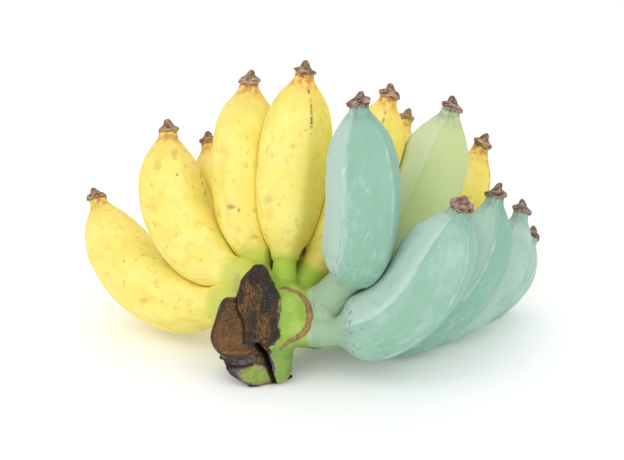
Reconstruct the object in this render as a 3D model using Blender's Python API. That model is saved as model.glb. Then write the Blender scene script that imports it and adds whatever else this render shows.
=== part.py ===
"""A hand of dessert bananas: fourteen plump fingers that grew on one crown, lying on a table.

Lengths are in millimetres and turn into metres when a mesh is made. +Z is up, the cut crown faces
-Y, and the hand rests on z = 0. The origin is the middle of its footprint.
"""
import math
from collections import namedtuple

import bmesh
import bpy
import numpy as np

MM = 0.001
GAP = 1.1  # left between neighbours that press on each other
SEAT_GAP = 0.35  # left where a finger's stalk meets its stub on the crown
FOOTPRINT_MIDDLE = (1.7, -5.8, 0.0)  # the point below that the finished hand has as its origin

# How a finger grows. root: where its stalk leaves the crown. tip: the end of its dried cap. bow: how
# far the belly swings out below the straight line between them, and sway the same to the right.
# lean: how much of that swing comes early. girth: greatest thickness. stalk: length of the stalk.
# neck: radius of the stalk, as a share of half the girth. roll: turn of the five ridges, in degrees.
Finger = namedtuple("Finger", "name root tip bow sway lean girth stalk neck roll")

FINGERS = [
    Finger("yellow_1", (-44, -24, 32), (-133.5, 64, 72), 24, -9, 0.2, 41, 9, 0.63, 10),
    Finger("yellow_2", (-38, -28, 49), (-83.5, 42, 121), 22, -9, 0.1, 41, 9, 0.48, 30),
    Finger("yellow_3", (-26, -14, 26), (-63.5, 64, 107), 14, 0, 0.6, 38, 16, 0.40, 0),
    Finger("yellow_4", (-28, -28, 41), (-35, 19, 156), 12, -3, 0.6, 41, 15, 0.38, 2),
    Finger("yellow_5", (-15.5, -36, 41), (-3, -2, 166), 10, -6, 0.6, 41, 21, 0.31, 6),
    Finger("yellow_6", (-9, -25, 37), (45.5, 16, 148.5), 8, 0, 0.6, 40, 18, 0.40, 15),
    Finger("yellow_7", (-1, -3, 28), (58, 58, 123), 8, 0, 0.6, 36, 18, 0.36, 50),
    Finger("yellow_8", (10, 6, 26), (104, 58, 108), 24, 0, 0.0, 38, 18, 0.31, 5),
    Finger("bluegreen_1", (1, -40, 34), (24, -50, 161), 16.5, 0, 1.1, 39.5, 28, 0.45, 49),
    Finger("bluegreen_2", (9, -19, 34), (80, 10, 143), 17, 0, 0.6, 42, 22, 0.40, 10),
    Finger("bluegreen_3", (-6, -51, 28), (80, -60, 108), 25, 0, 0.7, 43, 21, 0.36, 22),
    Finger("bluegreen_4", (6, -34, 19), (105, 2, 95), 30, 8, 0.1, 39, 24, 0.44, 44),
    Finger("bluegreen_5", (13, -12, 18), (125, 32, 75), 29, 15, -0.2, 36, 24, 0.44, 12),
    Finger("bluegreen_6", (18, 8, 22), (138, 64, 46), 21, 16, -0.6, 36, 24, 0.40, 60),
]

# The flesh's radius between stalk and tip: (share of the way, share of half the girth).
YELLOW_BODY = [
    (0.00, 0.30), (0.05, 0.42), (0.10, 0.62), (0.18, 0.82), (0.28, 0.93), (0.40, 0.99), (0.52, 1.00),
    (0.64, 0.95), (0.74, 0.83), (0.82, 0.62), (0.87, 0.41), (0.905, 0.28),
]
GREEN_BODY = [
    (0.00, 0.31), (0.03, 0.50), (0.07, 0.74), (0.13, 0.89), (0.22, 0.98), (0.36, 1.00), (0.52, 1.00),
    (0.64, 0.95), (0.74, 0.83), (0.82, 0.60), (0.87, 0.41), (0.905, 0.28),
]
# The dried flower's stump at the tip: a thick rim, then a blunt nub.
CAP = [(0.925, 0.26), (0.941, 0.30), (0.953, 0.28), (0.968, 0.16), (0.99, 0.10), (1.00, 0.05)]
STUB_SHARE = 0.62  # how much of each stalk belongs to the crown
RING_SHARES = [0.0, 0.06, 0.13, 0.23, 0.36, 0.50, 0.62, 0.73, 0.82, 0.88, 0.911, 0.932, 0.953, 0.967, 1.0]
RIDGE = {"yellow": 0.03, "bluegreen": 0.045}  # height of the five ridges, as a share of the radius
SIDES = 20
STUB_SIDES = 12
LINE_STEPS = 60

# The crown is a chain of rounded pieces, each (point, radius, point, radius).
CUSHION = [
    ((-36, -30, 30), 14, (-22, -30, 28), 16),
    ((-22, -30, 28), 16, (-6, -28, 25), 16),
    ((-6, -28, 25), 16, (4, -12, 20), 14),
    ((4, -12, 20), 14, (10, 4, 21), 12.5),
    ((-16, -8, 38), 8, (-7, -4, 48), 8),
]
BLOCK = [
    ((-34, -51, 9), 17, (-29, -44, 51), 12),
    ((-43, -54, 25), 12, (-40, -47, 38), 11),
    ((-19.5, -58, 8), 8.5, (-18, -53, 22), 8),
    ((-15, -49, 30), 9, (-12, -44, 41), 10.5),
    ((-25.4, -59, 26), 8, (-23.6, -49.5, 50), 8),
]
BLOB_SIDES = 16
CUT_POINT, CUT_NORMAL = (-38, -63, 24), (-0.22, -0.90, 0.38)  # the knife's cut through the stalk
CRACK = [(-33, 44), (-30, 20), (-25, 0)]  # across the cut face, as (x, z)
CRACK_WIDTH, CRACK_DEPTH = 3.0, 7.0
SCAR = [(-18, 50), (-9, 48), (-3, 38), (-6, 26), (-14, 16)]  # the bract's scar, as (x, z)
SCAR_RADIUS = 2.0

YELLOW, PALE_GREEN, BLUE_GREEN, BROWN = (
    (0.90, 0.72, 0.12), (0.50, 0.58, 0.28), (0.33, 0.55, 0.44), (0.09, 0.055, 0.03),
)
PALE_FINGER = "bluegreen_2"

Line = namedtuple("Line", "points across side lengths radii")


def unit(v):
    v = np.asarray(v, float)
    return v / np.linalg.norm(v, axis=-1, keepdims=True)


def is_yellow(finger):
    return finger.name.startswith("yellow")


def smooth_table(table, x):
    """Read a table of (x, y) with a curve that never overshoots its points."""
    xs, ys = np.array(table, float).T
    step = np.diff(xs)
    slope = np.diff(ys) / step
    tangent = np.zeros_like(ys)
    for i in range(1, len(xs) - 1):
        if slope[i - 1] * slope[i] > 0:
            near, far = 2 * step[i] + step[i - 1], step[i] + 2 * step[i - 1]
            tangent[i] = (near + far) / (near / slope[i - 1] + far / slope[i])
    tangent[0], tangent[-1] = slope[0], slope[-1]
    i = np.clip(np.searchsorted(xs, x) - 1, 0, len(step) - 1)
    u = (x - xs[i]) / step[i]
    return (
        ys[i] * (1 + 2 * u) * (1 - u) ** 2 + tangent[i] * step[i] * u * (1 - u) ** 2
        + ys[i + 1] * u * u * (3 - 2 * u) + tangent[i + 1] * step[i] * u * u * (u - 1)
    )


def radius_at(finger, along, length):
    """The round radius of a finger at a distance along its centre line."""
    half = finger.girth / 2
    share = (along - finger.stalk) / (length - finger.stalk)
    body = (YELLOW_BODY if is_yellow(finger) else GREEN_BODY) + CAP
    flesh = smooth_table(body, np.clip(share, 0, 1))
    neck = finger.neck * np.clip(1 - 2 * share, 0, 1)
    swell = 1 + 1.2 * np.clip(-share, 0, 1)
    return half * np.where(share < 0, finger.neck * swell, (flesh ** 4 + neck ** 4) ** 0.25)


def centre_line(finger):
    """The curved centre line of a finger, from its root to its tip."""
    root, tip = np.array(finger.root, float), np.array(finger.tip, float)
    chord = unit(tip - root)
    right = unit(np.cross(chord, (0, 0, 1)))
    belly = np.cross(chord, right)
    t = np.linspace(0, 1, LINE_STEPS + 1)
    swing = 4 * t * (1 - t) * (1 - finger.lean * (t - 0.5))
    points = (
        root + np.outer(t, tip - root) + np.outer(swing * finger.bow, belly)
        + np.outer(swing * finger.sway, right)
    )
    tangent = unit(np.gradient(points, axis=0))
    across = unit(np.cross(np.cross(chord, belly), tangent))
    side = np.cross(tangent, across)
    lengths = np.concatenate([[0], np.cumsum(np.linalg.norm(np.diff(points, axis=0), axis=1))])
    return Line(points, across, side, lengths, radius_at(finger, lengths, lengths[-1]))


def skin_distance(points, line, radii):
    """Distance from each point to the skin round a line, negative inside."""
    start, span = line[:-1], np.diff(line, axis=0)
    offset = points[..., None, :] - start
    t = np.clip((offset * span).sum(-1) / (span * span).sum(-1), 0, 1)
    gap = np.linalg.norm(offset - t[..., None] * span, axis=-1)
    return (gap - radii[:-1] - t * np.diff(radii)).min(-1)


def crown_distance(points):
    blobs = [
        skin_distance(points, np.array([p, q], float), np.array([r, s], float))
        for p, r, q, s in CUSHION + BLOCK
    ]
    return np.min(blobs, axis=0)


def free_radius(own, others, centres, rays, longest, clear_crown):
    """How far each ray from a centre line may go before it meets a neighbour or the table."""
    def room(radius):
        points = centres + rays * radius[..., None]
        inside = skin_distance(points, own.points, own.radii)
        rooms = [points[..., 2]]
        rooms += [skin_distance(points, o.points, o.radii) - inside - GAP for o in others]
        if clear_crown:
            rooms.append(crown_distance(points) - GAP)
        return np.min(rooms, axis=0)

    low, high = np.zeros_like(longest), longest.copy()
    free = room(high) >= 0
    for _ in range(12):
        middle = (low + high) / 2
        fits = room(middle) >= 0
        low, high = np.where(fits, middle, low), np.where(fits, high, middle)
    return np.where(free, longest, low)


def rings_along(finger, line, lines, stations, sides, clear_crown):
    """Rings of skin points round a finger's centre line, pressed flat where neighbours touch."""
    read = lambda table: np.array([np.interp(stations, line.lengths, table[:, k]) for k in range(3)]).T
    centres, across, side = read(line.points), unit(read(line.across)), unit(read(line.side))
    angle = np.arange(sides) * 2 * math.pi / sides
    turned = angle + math.radians(finger.roll)
    lump = RIDGE[finger.name.split("_")[0]] * (np.cos(5 * angle) + 0.3 * np.cos(10 * angle))
    radius = radius_at(finger, stations, line.lengths[-1])
    flesh = np.clip((stations - finger.stalk) / 10, 0, 1)
    longest = radius[:, None] * (1 + flesh[:, None] * lump[None])
    rays = np.cos(turned)[None, :, None] * across[:, None] + np.sin(turned)[None, :, None] * side[:, None]
    others = [o for o in lines if o is not line]
    free = free_radius(line, others, centres[:, None], rays, longest, clear_crown)
    return centres[:, None] + rays * free[..., None]


def new_object(name, mesh, colour, roughness):
    material = bpy.data.materials.new(name)
    material.use_nodes = True
    shader = material.node_tree.nodes["Principled BSDF"]
    shader.inputs["Base Color"].default_value = (*colour, 1)
    shader.inputs["Roughness"].default_value = roughness
    mesh.materials.clear()
    mesh.materials.append(material)
    mesh.shade_smooth()
    mesh.set_sharp_from_angle(angle=math.radians(40))
    obj = bpy.data.objects.new(name, mesh)
    obj.location = [-c * MM for c in FOOTPRINT_MIDDLE]
    bpy.context.scene.collection.objects.link(obj)
    return obj


def finish_mesh(name, bm):
    bmesh.ops.recalc_face_normals(bm, faces=bm.faces)
    mesh = bpy.data.meshes.new(name)
    bm.to_mesh(mesh)
    bm.free()
    return mesh


def tube_mesh(name, rings):
    """A closed mesh through rings of points, with a flat face at each end."""
    bm = bmesh.new()
    loops = [[bm.verts.new(p * MM) for p in ring] for ring in rings]
    for one, two in zip(loops, loops[1:]):
        for i in range(len(one)):
            j = (i + 1) % len(one)
            bm.faces.new((one[i], one[j], two[j], two[i]))
    bm.faces.new(loops[0])
    bm.faces.new(loops[-1])
    return finish_mesh(name, bm)


def blob_mesh(name, start, start_radius, end, end_radius):
    """A closed mesh of a rounded piece: two half balls joined by a cone."""
    start, end = np.array(start, float), np.array(end, float)
    length, axis = np.linalg.norm(end - start), unit(end - start)
    across = unit(np.cross(axis, (0.3, 0.9, 0.2)))
    side = np.cross(axis, across)
    steps = np.radians([20, 50, 80])
    profile = [(-start_radius * math.cos(a), start_radius * math.sin(a)) for a in steps]
    profile += [(length + end_radius * math.cos(a), end_radius * math.sin(a)) for a in steps[::-1]]
    angle = np.arange(BLOB_SIDES) * 2 * math.pi / BLOB_SIDES
    circle = np.cos(angle)[:, None] * across + np.sin(angle)[:, None] * side
    return tube_mesh(name, [start + axis * x + circle * r for x, r in profile])


def combine(mesh, other, operation):
    """One mesh joined to, or cut by, another."""
    body = bpy.data.objects.new("body", mesh)
    tool = bpy.data.objects.new("tool", other)
    for obj in (body, tool):
        bpy.context.scene.collection.objects.link(obj)
    modifier = body.modifiers.new("combine", "BOOLEAN")
    modifier.operation, modifier.solver, modifier.object = operation, "EXACT", tool
    bpy.context.view_layer.update()
    result = bpy.data.meshes.new_from_object(body.evaluated_get(bpy.context.evaluated_depsgraph_get()))
    for obj in (body, tool):
        bpy.data.objects.remove(obj)
    return result


def cut_flat(mesh, point, normal):
    """Cut away what lies beyond a plane, and close the cut with a flat face."""
    bm = bmesh.new()
    bm.from_mesh(mesh)
    point = [c * MM for c in point]
    geometry = bm.verts[:] + bm.edges[:] + bm.faces[:]
    cut = bmesh.ops.bisect_plane(
        bm, geom=geometry, dist=1e-7, plane_co=point, plane_no=normal, clear_outer=True,
    )
    edges = [e for e in cut["geom_cut"] if isinstance(e, bmesh.types.BMEdge)]
    bmesh.ops.holes_fill(bm, edges=edges, sides=0)
    return finish_mesh(mesh.name, bm)


def drop_crumbs(mesh):
    """Keep the biggest connected part of a mesh; what lies loose beside it are slivers."""
    bm = bmesh.new()
    bm.from_mesh(mesh)
    left, parts = set(bm.verts), []
    while left:
        part, edge = set(), {next(iter(left))}
        while edge:
            part |= edge
            edge = {e.other_vert(v) for v in edge for e in v.link_edges} - part
        parts.append(part)
        left -= part
    parts.sort(key=len)
    bmesh.ops.delete(bm, geom=[v for part in parts[:-1] for v in part], context="VERTS")
    return finish_mesh(mesh.name, bm)


def seat_on_skin(x, z):
    """The front point of the crown's skin at a place seen from the front."""
    low, high = -90.0, -40.0
    for _ in range(20):
        middle = (low + high) / 2
        outside = crown_distance(np.array([[x, middle, z]], float))[0] > 0
        low, high = (middle, high) if outside else (low, middle)
    return np.array([x, low, z])


def scar_mesh():
    """The raised crescent where a bract sat on the crown's right flank."""
    table = np.array(SCAR, float)
    t = np.linspace(0, 1, 9)
    knots = np.linspace(0, 1, len(table))
    xz = np.array([np.interp(t, knots, table[:, k]) for k in (0, 1)]).T
    centres = np.array([seat_on_skin(x, z) for x, z in xz])
    tangent = unit(np.gradient(centres, axis=0))
    across = unit(np.cross(tangent, (0, 1, 0)))
    side = np.cross(tangent, across)
    angle = np.arange(8) * math.pi / 4
    width = SCAR_RADIUS * (0.45 + 0.55 * np.sin(math.pi * t))
    return tube_mesh("scar", [
        c + w * (np.cos(angle)[:, None] * a + np.sin(angle)[:, None] * s)
        for c, w, a, s in zip(centres, width, across, side)
    ])


def crack_mesh():
    """The wedge-shaped crack between the two lobes of the cut face."""
    normal = unit(CUT_NORMAL)
    rings = []
    for i, (x, z) in enumerate(CRACK):
        drop = np.dot(np.array(CUT_POINT) - (x, 0, z), normal) / normal[1]
        face = np.array([x, drop, z])
        width = CRACK_WIDTH * (0.5, 0.8, 1.2)[i] / 2
        rings.append([face - (width, 0, 0) + normal * 3, face + (width, 0, 0) + normal * 3,
                      face - normal * CRACK_DEPTH])
    rings[-1] = [p - (0, 0, 3) for p in rings[-1]]
    return tube_mesh("crack", rings)


def main():
    for obj in list(bpy.data.objects):
        bpy.data.objects.remove(obj)
    lines = [centre_line(f) for f in FINGERS]

    crown = None
    for piece in CUSHION + BLOCK:
        blob = blob_mesh("crown", *piece)
        crown = combine(crown, blob, "UNION") if crown else blob
    crown = combine(crown, scar_mesh(), "UNION")
    crown = cut_flat(crown, CUT_POINT, CUT_NORMAL)
    crown = combine(crown, crack_mesh(), "DIFFERENCE")

    for finger, line in zip(FINGERS, lines):
        seat = finger.stalk * STUB_SHARE
        stations = np.array([0, seat / 2, seat - SEAT_GAP])
        stub = rings_along(finger, line, lines, stations, STUB_SIDES, clear_crown=False)
        crown = combine(crown, tube_mesh("stub", stub), "UNION")

        length = line.lengths[-1]
        flesh = finger.stalk + np.array(RING_SHARES) * (length - finger.stalk)
        stations = np.concatenate([[seat], flesh])
        rings = rings_along(finger, line, lines, stations, SIDES, clear_crown=True)
        name = "finger_" + finger.name
        colour = YELLOW if is_yellow(finger) else PALE_GREEN if finger.name == PALE_FINGER else BLUE_GREEN
        new_object(name, tube_mesh(name, rings), colour, 0.45)

    crown = drop_crumbs(cut_flat(crown, (0, 0, 0), (0, 0, -1)))
    new_object("crown", crown, BROWN, 0.8)


main()
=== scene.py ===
# The looks of a hand of bananas: ripe yellow and waxy blue-green fingers on one dried, cut crown.
# Lengths in the tables are millimetres round the point where the hand grew; FOOTPRINT_MIDDLE takes
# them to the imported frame, and they turn into metres when a mesh is made.
import math
from collections import namedtuple

import bpy
import numpy as np
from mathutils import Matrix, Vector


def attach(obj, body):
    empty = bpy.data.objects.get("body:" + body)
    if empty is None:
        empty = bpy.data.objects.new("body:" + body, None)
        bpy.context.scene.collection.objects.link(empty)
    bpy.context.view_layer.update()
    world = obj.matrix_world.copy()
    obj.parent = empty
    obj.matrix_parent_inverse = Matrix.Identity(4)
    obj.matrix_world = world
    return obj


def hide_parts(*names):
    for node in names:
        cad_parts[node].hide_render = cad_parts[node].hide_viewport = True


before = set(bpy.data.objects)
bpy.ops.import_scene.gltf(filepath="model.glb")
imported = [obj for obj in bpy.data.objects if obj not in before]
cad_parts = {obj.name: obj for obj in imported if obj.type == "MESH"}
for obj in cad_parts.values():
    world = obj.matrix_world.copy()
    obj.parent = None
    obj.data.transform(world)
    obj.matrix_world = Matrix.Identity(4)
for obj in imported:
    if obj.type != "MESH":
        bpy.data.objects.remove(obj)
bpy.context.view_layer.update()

MM = 0.001
FOOTPRINT_MIDDLE = np.array([1.7, -5.8, 0.0])
CAMERA_ELEVATION = math.radians(20)  # how high above the table the photo was taken from
SKIN_GAP = 0.3  # left between neighbouring peels that press on each other
TABLE_GAP = 0.05  # left between the skins and the table
SIDES = 96
LINE_STEPS = 60
GROWN_POINTS = 16  # points of a centre line, from its root, that count as grown into the crown
RIDGES = 5
# The search for how far a finger may swell runs on a coarse grid, halving its step so many times.
COARSE_STATIONS, COARSE_SIDES, HALVINGS = 72, 60, 9

# How a finger grows, as in the solid model: from its root to its tip, swinging out below (bow) and
# sideways (sway), early in its length if lean is high; roll turns its five ridges, in degrees.
Finger = namedtuple("Finger", "name root tip bow sway lean girth stalk neck roll")
FINGERS = [
    Finger("yellow_1", (-44, -24, 32), (-133.5, 64, 72), 24, -9, 0.2, 41, 9, 0.63, 10),
    Finger("yellow_2", (-38, -28, 49), (-83.5, 42, 121), 22, -9, 0.1, 41, 9, 0.48, 30),
    Finger("yellow_3", (-26, -14, 26), (-63.5, 64, 107), 14, 0, 0.6, 38, 16, 0.40, 0),
    Finger("yellow_4", (-28, -28, 41), (-35, 19, 156), 12, -3, 0.6, 41, 15, 0.38, 2),
    Finger("yellow_5", (-15.5, -36, 41), (-3, -2, 166), 10, -6, 0.6, 41, 21, 0.31, 6),
    Finger("yellow_6", (-9, -25, 37), (45.5, 16, 148.5), 8, 0, 0.6, 40, 18, 0.40, 15),
    Finger("yellow_7", (-1, -3, 28), (58, 58, 123), 8, 0, 0.6, 36, 18, 0.36, 50),
    Finger("yellow_8", (10, 6, 26), (104, 58, 108), 24, 0, 0.0, 38, 18, 0.31, 5),
    Finger("bluegreen_1", (1, -40, 34), (24, -50, 161), 16.5, 0, 1.1, 39.5, 28, 0.45, 49),
    Finger("bluegreen_2", (9, -19, 34), (80, 10, 143), 17, 0, 0.6, 42, 22, 0.40, 10),
    Finger("bluegreen_3", (-6, -51, 28), (80, -60, 108), 25, 0, 0.7, 43, 21, 0.36, 22),
    Finger("bluegreen_4", (6, -34, 19), (105, 2, 95), 30, 8, 0.1, 39, 24, 0.44, 44),
    Finger("bluegreen_5", (13, -12, 18), (125, 32, 75), 29, 15, -0.2, 36, 24, 0.44, 12),
    Finger("bluegreen_6", (18, 8, 22), (138, 64, 46), 21, 16, -0.6, 36, 24, 0.40, 60),
]
YELLOW_BODY = [
    (0.00, 0.30), (0.05, 0.42), (0.10, 0.62), (0.18, 0.82), (0.28, 0.93), (0.40, 0.99), (0.52, 1.00),
    (0.64, 0.95), (0.74, 0.83), (0.82, 0.62), (0.87, 0.41), (0.905, 0.28),
]
GREEN_BODY = [
    (0.00, 0.31), (0.03, 0.50), (0.07, 0.74), (0.13, 0.89), (0.22, 0.98), (0.36, 1.00), (0.52, 1.00),
    (0.64, 0.95), (0.74, 0.83), (0.82, 0.60), (0.87, 0.41), (0.905, 0.28),
]
# The dried flower's stump: a thick rolled rim, a dished top and a blunt nub.
CAP = [
    (0.920, 0.262), (0.933, 0.255), (0.936, 0.280), (0.941, 0.302), (0.949, 0.305), (0.955, 0.285),
    (0.960, 0.235), (0.964, 0.185), (0.969, 0.150), (0.977, 0.125), (0.987, 0.100), (0.994, 0.070),
    (0.998, 0.036), (1.000, 0.000),
]
CAP_START = 0.934
PALE_FINGER = "bluegreen_2"
# A dark, dotted line along one ridge: the way the ridge faces, and where it starts and stops.
STREAKS = {
    "yellow_5": ((0.31, -0.9, 0.3), 0.58, 0.88), "yellow_6": ((0.1, -1.0, 0.1), 0.70, 0.91),
    "yellow_8": ((0.8, -0.6, 0.1), 0.60, 0.91),
}
# Bruises on the side that faces the front: how far across and how high up as the photo's camera
# sees them, half width, half height, and how dark.
MARKS = {
    "yellow_1": [(-109.0, 45.5, 0.8, 0.8, 1.0)],
    "yellow_2": [
        (-88.7, 99.7, 2.3, 3.4, 0.35), (-79.1, 106.5, 1.8, 3.4, 0.40), (-76.8, 94.6, 0.9, 0.7, 1.0),
        (-64.4, 95.7, 0.8, 2.2, 0.55), (-63.3, 90.0, 0.7, 1.8, 0.45), (-61.6, 84.4, 0.8, 2.2, 0.50),
    ],
    "yellow_4": [
        (-44.7, 76.0, 2.8, 1.6, 0.70), (-40.3, 73.9, 0.9, 0.8, 1.0), (-32.2, 59.1, 2.6, 1.0, 0.45),
    ],
    "yellow_5": [(-24.0, 79.9, 2.6, 2.2, 0.35), (-13.0, 62.0, 1.6, 1.2, 0.20)],
}
# How far above its stalk a ripe finger is still green, in millimetres, and how green it is there.
USUAL_GREEN, GREEN_FADE = (16, 1.0), 17
GREEN_REACH = {
    "yellow_1": (10, 0.5), "yellow_2": (10, 0.5), "yellow_3": (6, 0.7), "yellow_4": (16, 0.6),
    "yellow_5": (10, 1.0), "yellow_6": (9, 0.85),
}
# How thick the bloom lies on an unripe finger, and the side on which it is thickest.
BLOOM = {"bluegreen_6": 1.3, "bluegreen_5": 0.85, "bluegreen_4": 0.15, "bluegreen_3": 0.56}
# This side is also taken as the lit side: the faces turned away from it get painted shade.
BLOOM_AND_LIT_SIDE = (-0.75, 0.25, 0.60)
RIDGE = {"yellow": 0.03, "bluegreen": 0.045}  # how far a ridge rises, as a share of the radius

# The crown's rounded pieces, each (point, radius, point, radius), and the knife's cut.
CUSHION = [
    ((-36, -30, 30), 14, (-22, -30, 28), 16),
    ((-22, -30, 28), 16, (-6, -28, 25), 16),
    ((-6, -28, 25), 16, (4, -12, 20), 14),
    ((4, -12, 20), 14, (10, 4, 21), 12.5),
    ((-16, -8, 38), 8, (-7, -4, 48), 8),
]
BLOCK = [
    ((-34, -51, 9), 17, (-29, -44, 51), 12),
    ((-43, -54, 25), 12, (-40, -47, 38), 11),
    ((-19.5, -58, 8), 8.5, (-18, -53, 22), 8),
    ((-15, -49, 30), 9, (-12, -44, 41), 10.5),
    ((-25.4, -59, 26), 8, (-23.6, -49.5, 50), 8),
]
CUT_POINT = np.array([-38.0, -63.0, 24.0])
CUT_NORMAL = np.array([-0.22, -0.90, 0.38]) / np.linalg.norm([-0.22, -0.90, 0.38])
CUT_ACROSS = np.cross((0, 0, 1), CUT_NORMAL) / np.linalg.norm(np.cross((0, 0, 1), CUT_NORMAL))
CUT_UP = np.cross(CUT_NORMAL, CUT_ACROSS)

Line = namedtuple("Line", "points across side lengths radii")


def unit(v):
    v = np.asarray(v, float)
    return v / np.linalg.norm(v, axis=-1, keepdims=True)


def smoothstep(low, high, x):
    t = np.clip((x - low) / (high - low), 0, 1)
    return t * t * (3 - 2 * t)


def smooth_min(a, b, k):
    h = np.clip(k - np.abs(a - b), 0, None) / k
    return np.minimum(a, b) - h * h * k / 4


def smooth_table(table, x):
    """Read a table of (x, y) with a curve that never overshoots its points."""
    xs, ys = np.array(table, float).T
    step = np.diff(xs)
    slope = np.diff(ys) / step
    tangent = np.zeros_like(ys)
    for i in range(1, len(xs) - 1):
        if slope[i - 1] * slope[i] > 0:
            near, far = 2 * step[i] + step[i - 1], step[i] + 2 * step[i - 1]
            tangent[i] = (near + far) / (near / slope[i - 1] + far / slope[i])
    tangent[0], tangent[-1] = slope[0], slope[-1]
    i = np.clip(np.searchsorted(xs, x) - 1, 0, len(step) - 1)
    u = (x - xs[i]) / step[i]
    return (
        ys[i] * (1 + 2 * u) * (1 - u) ** 2 + tangent[i] * step[i] * u * (1 - u) ** 2
        + ys[i + 1] * u * u * (3 - 2 * u) + tangent[i + 1] * step[i] * u * u * (u - 1)
    )


def lattice(i, seed):
    """A steady random value from -1 to 1 for each whole-number point."""
    h = (i[..., 0] * 73856093) ^ (i[..., 1] * 19349663) ^ (i[..., 2] * 83492791) ^ (seed * 2654435)
    h = (h ^ (h >> 13)) * 1274126177
    h = (h ^ (h >> 16)) & 0xFFFFFF
    return h / 8388607.5 - 1


def noise(points, seed=0):
    """Soft random lumps one unit across, from -1 to 1."""
    i = np.floor(points).astype(np.int64)
    f = points - i
    u = f * f * (3 - 2 * f)
    total = 0
    for corner in np.ndindex(2, 2, 2):
        c = np.array(corner)
        weight = np.prod(np.where(c, u, 1 - u), axis=-1)
        total = total + weight * lattice(i + c, seed)
    return total


def is_yellow(finger):
    return finger.name.startswith("yellow")


def radius_at(finger, along, length):
    """The round radius of a finger at a distance along its centre line."""
    half = finger.girth / 2
    share = (along - finger.stalk) / (length - finger.stalk)
    body = (YELLOW_BODY if is_yellow(finger) else GREEN_BODY) + CAP
    flesh = smooth_table(body, np.clip(share, 0, 1))
    neck = finger.neck * np.clip(1 - 2 * share, 0, 1)
    swell = 1 + 1.2 * np.clip(-share, 0, 1)
    return half * np.where(share < 0, finger.neck * swell, (flesh ** 4 + neck ** 4) ** 0.25)


def centre_line(finger):
    """The curved centre line of a finger, from its root to its tip."""
    root, tip = np.array(finger.root, float), np.array(finger.tip, float)
    chord = unit(tip - root)
    right = unit(np.cross(chord, (0, 0, 1)))
    belly = np.cross(chord, right)
    t = np.linspace(0, 1, LINE_STEPS + 1)
    swing = 4 * t * (1 - t) * (1 - finger.lean * (t - 0.5))
    points = (
        root + np.outer(t, tip - root) + np.outer(swing * finger.bow, belly)
        + np.outer(swing * finger.sway, right)
    )
    tangent = unit(np.gradient(points, axis=0))
    across = unit(np.cross(np.cross(chord, belly), tangent))
    side = np.cross(tangent, across)
    lengths = np.concatenate([[0], np.cumsum(np.linalg.norm(np.diff(points, axis=0), axis=1))])
    return Line(points, across, side, lengths, radius_at(finger, lengths, lengths[-1]))


def skin_distance(points, line, radii):
    """Distance from each point to the skin round a line, negative inside."""
    best = np.full(points.shape[:-1], 1e9)
    for p, q, r, s in zip(line[:-1], line[1:], radii[:-1], radii[1:]):
        span = q - p
        offset = points - p
        t = np.clip(offset @ span / (span @ span), 0, 1)
        gap = np.linalg.norm(offset - t[..., None] * span, axis=-1)
        best = np.minimum(best, gap - r - t * (s - r))
    return best


LINES = {f.name: centre_line(f) for f in FINGERS}


def greenness(finger, ahead):
    """How green a ripe finger is, by millimetres past the end of its stalk."""
    reach, most = GREEN_REACH.get(finger.name, USUAL_GREEN)
    return most * smoothstep(reach, reach - GREEN_FADE, ahead)


def read_line(line, stations):
    read = lambda table: np.array([np.interp(stations, line.lengths, table[:, k]) for k in range(3)]).T
    return read(line.points), unit(read(line.across)), unit(read(line.side))


def room_round(finger, stations, angles):
    """How far each ray from the centre line may go before it meets a neighbour or the table."""
    line = LINES[finger.name]
    centres, across, side = read_line(line, stations)
    rays = np.cos(angles)[None, :, None] * across[:, None] + np.sin(angles)[None, :, None] * side[:, None]
    own = line.points[::2], line.radii[::2]
    others = []
    for other in FINGERS:
        o = LINES[other.name]
        near = np.linalg.norm(line.points[:, None] - o.points[None], axis=-1).min()
        if other is not finger and near < (1.3 * finger.girth + other.girth) / 2:
            others.append((o.points[::2], o.radii[::2]))

    def room(radius):
        points = centres[:, None] + rays * radius[..., None]
        inside = skin_distance(points, *own)
        rooms = [points[..., 2] - TABLE_GAP]
        rooms += [skin_distance(points, *o) - inside - SKIN_GAP for o in others]
        return np.min(rooms, axis=0)

    widest = 0.8 * finger.girth
    high = np.full(rays.shape[:2], widest)
    low = np.zeros_like(high)
    low_room, high_room = np.ones_like(high), room(high)
    free = high_room >= 0
    for _ in range(HALVINGS):
        middle = (low + high) / 2
        value = room(middle)
        fits = value >= 0
        low, low_room = np.where(fits, middle, low), np.where(fits, value, low_room)
        high, high_room = np.where(fits, high, middle), np.where(fits, high_room, value)
    edge = low + (high - low) * np.clip(low_room / np.maximum(low_room - high_room, 1e-6), 0, 1)
    return np.where(free, widest, edge)


def spread(coarse, stations, angles, fine_stations, fine_angles):
    """Read a table of (station, angle) at finer steps; the angle goes all the way round."""
    wrapped = np.concatenate([coarse, coarse[:, :1]], axis=1)
    turns = np.append(angles, angles[0] + 2 * math.pi)
    rows = np.array([np.interp(fine_angles, turns, row) for row in wrapped])
    return np.array([np.interp(fine_stations, stations, column) for column in rows.T]).T


def soften(table, times):
    """Blur a table of (station, angle) a little."""
    for _ in range(times):
        table = (np.roll(table, 1, 1) + 2 * table + np.roll(table, -1, 1)) / 4
        inner = (table[:-2] + 2 * table[1:-1] + table[2:]) / 4
        table = np.concatenate([table[:1], inner, table[-1:]])
    return table


def add_object(name, data):
    """Put a mesh, a light or a camera into the scene."""
    obj = bpy.data.objects.new(name, data)
    bpy.context.scene.collection.objects.link(obj)
    return obj


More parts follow.
